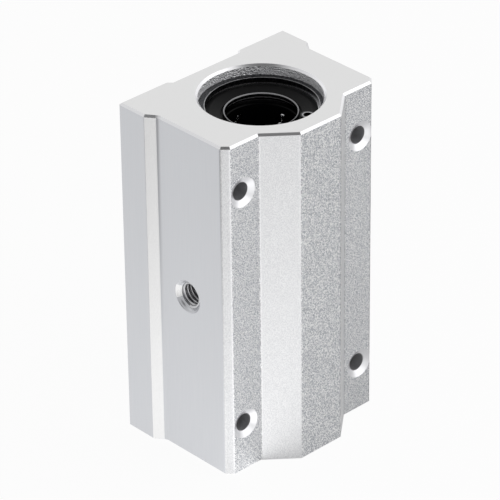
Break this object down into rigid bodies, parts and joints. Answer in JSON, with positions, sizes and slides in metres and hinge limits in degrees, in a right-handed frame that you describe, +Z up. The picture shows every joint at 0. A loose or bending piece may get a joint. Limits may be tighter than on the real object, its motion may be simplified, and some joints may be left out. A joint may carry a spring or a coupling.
{
  "type": "linear bearing block",
  "caption": "Long extruded block with two ball bushings end to end in one bore, countersunk ear holes, tapped mounting holes and a threaded side port.",
  "frame": {"origin": "on the shaft axis, at the lower end face, which is also the centre of the block's underside", "axes": "+Z up along the shaft axis and the block's length, +Y out of the mounting face, -Y out of the ridge and ears, -X out of the side with the grease port"},
  "size_m": [0.05, 0.038, 0.085],
  "materials": {
    "housing_aluminium": "clear anodised extrusion, bead blasted ridge and ears, smooth milled ends and sides",
    "spring_steel": "oiled phosphated spring steel",
    "sleeve_steel": "hardened and ground bearing steel",
    "cage_plastic": "moulded black acetal",
    "ball_steel": "polished bearing steel",
    "seal_rubber": "moulded black nitrile rubber",
    "ring_steel": "plain spring steel"
  },
  "bodies": {
    "root": {"housing": "housing_aluminium", "circlip_upper": "spring_steel", "circlip_lower": "spring_steel", "upper_sleeve": "sleeve_steel", "upper_cage": "cage_plastic", "upper_ball_circuit_1": "ball_steel", "upper_ball_circuit_2": "ball_steel", "upper_ball_circuit_3": "ball_steel", "upper_ball_circuit_4": "ball_steel", "upper_ball_circuit_5": "ball_steel", "upper_seal_outer": "seal_rubber", "upper_seal_inner": "seal_rubber", "upper_retaining_ring_outer": "ring_steel", "upper_retaining_ring_inner": "ring_steel", "lower_sleeve": "sleeve_steel", "lower_cage": "cage_plastic", "lower_ball_circuit_1": "ball_steel", "lower_ball_circuit_2": "ball_steel", "lower_ball_circuit_3": "ball_steel", "lower_ball_circuit_4": "ball_steel", "lower_ball_circuit_5": "ball_steel", "lower_seal_outer": "seal_rubber", "lower_seal_inner": "seal_rubber", "lower_retaining_ring_outer": "ring_steel", "lower_retaining_ring_inner": "ring_steel"}
  },
  "joints": []
}
